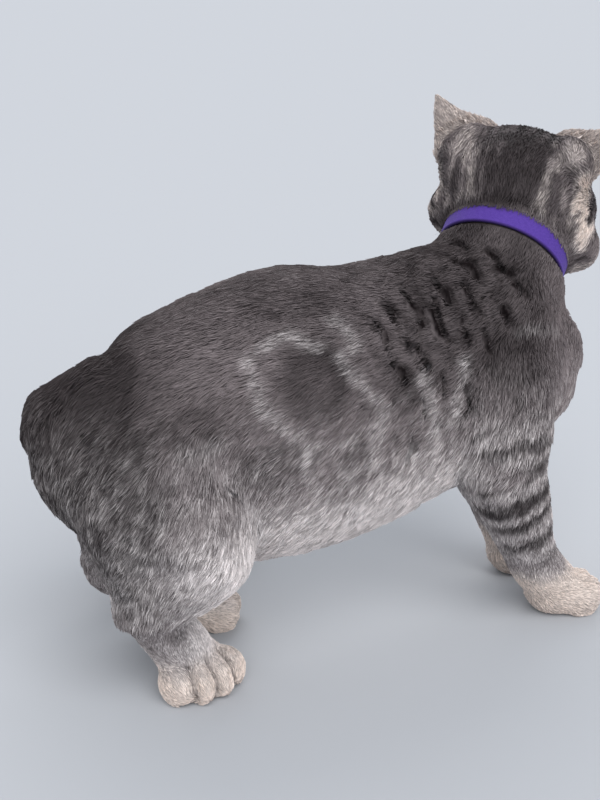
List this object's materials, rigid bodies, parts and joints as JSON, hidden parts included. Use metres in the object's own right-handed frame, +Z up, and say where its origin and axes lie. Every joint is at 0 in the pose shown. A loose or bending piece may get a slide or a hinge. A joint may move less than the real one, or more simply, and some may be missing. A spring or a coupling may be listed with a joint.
{
  "type": "bengal cat",
  "caption": "Life-size still model of a grey bengal cat, standing low behind with its head turned back to its left and a plain violet collar, to stand on a level floor.",
  "frame": {"origin": "on the floor, under the middle of the model's bounding box", "axes": "+X from the rump towards the chest, +Y to the cat's own left, +Z up"},
  "size_m": [0.3593, 0.2251, 0.3014],
  "materials": {
    "coat": "short blue-grey bengal coat with darker rosettes and slashes and pale rings",
    "foot_coat": "short grey-brown coat, paler at the toes",
    "pale_foot_coat": "short cream coat",
    "dark_tail_coat": "short near-black coat",
    "ear_coat": "thin short hair over pinkish skin",
    "eye": "wet, glossy, green-gold iris",
    "nose_leather": "finely pebbled, slightly moist",
    "collar_webbing": "smooth woven violet webbing",
    "collar_clasp": "satin moulded plastic"
  },
  "bodies": {
    "root": {"head": "coat", "neck": "coat", "chest": "coat", "belly": "coat", "rump": "coat", "tail_base": "coat", "tail_middle": "coat", "tail_tip": "dark_tail_coat", "upper_arm_left": "coat", "upper_arm_right": "coat", "forearm_left": "coat", "forearm_right": "coat", "front_foot_left": "pale_foot_coat", "front_foot_right": "pale_foot_coat", "thigh_left": "coat", "thigh_right": "coat", "hind_foot_left": "foot_coat", "hind_foot_right": "foot_coat", "ear_left": "ear_coat", "ear_right": "ear_coat", "eye_left": "eye", "eye_right": "eye", "nose": "nose_leather", "collar_band": "collar_webbing", "collar_clasp": "collar_clasp"}
  },
  "joints": []
}
